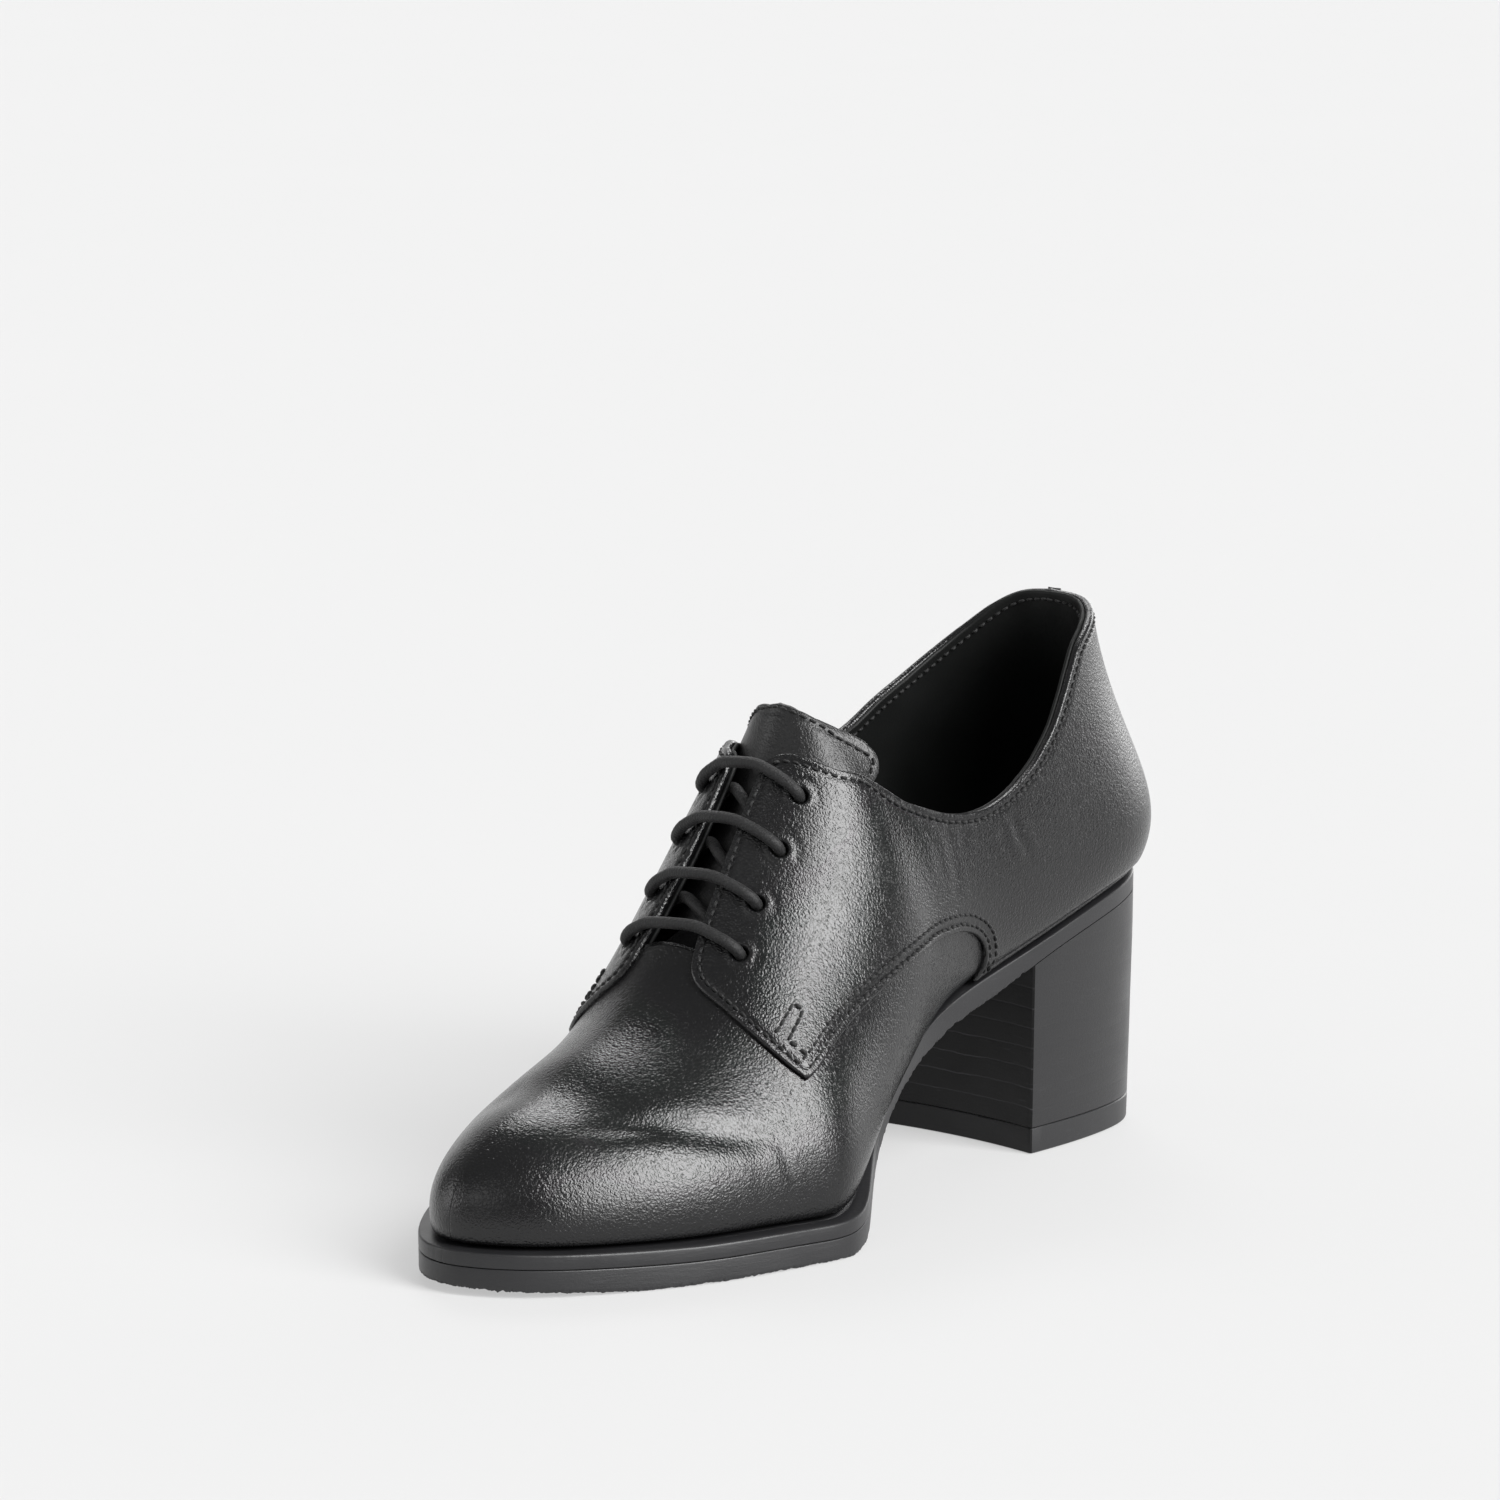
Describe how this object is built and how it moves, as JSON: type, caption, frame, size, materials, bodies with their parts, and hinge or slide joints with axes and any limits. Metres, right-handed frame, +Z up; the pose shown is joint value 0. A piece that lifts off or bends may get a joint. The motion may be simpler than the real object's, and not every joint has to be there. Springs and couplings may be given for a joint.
{
  "type": "heeled derby shoe",
  "caption": "Low-cut lace-up shoe with open-laced quarters, a shaped leather upper on a welted sole and a stacked block heel; right foot.",
  "frame": {"origin": "middle of the shoe's bounding box, on the floor", "axes": "+Z up from the floor, -Y from heel to toe, +X to the wearer's left, the inner side of this right shoe"},
  "size_m": [0.0934, 0.2478, 0.1324],
  "materials": {
    "upper": "black calf, fine grain, soft polish",
    "tongue": "black calf, fine grain",
    "insole": "black smooth lining leather",
    "welt": "black inked edge, satin",
    "outsole": "black inked edge, satin",
    "heel": "stacked leather lifts, black ink, satin",
    "top_piece": "matt black rubber",
    "lace": "thin waxed black cord"
  },
  "bodies": {
    "root": {"upper": "upper", "tongue": "tongue", "insole": "insole", "welt": "welt", "outsole": "outsole", "heel": "heel", "heel_top_piece": "top_piece", "lace_bar_1": "lace", "lace_bar_2": "lace", "lace_bar_3": "lace", "lace_bar_4": "lace"}
  },
  "joints": []
}
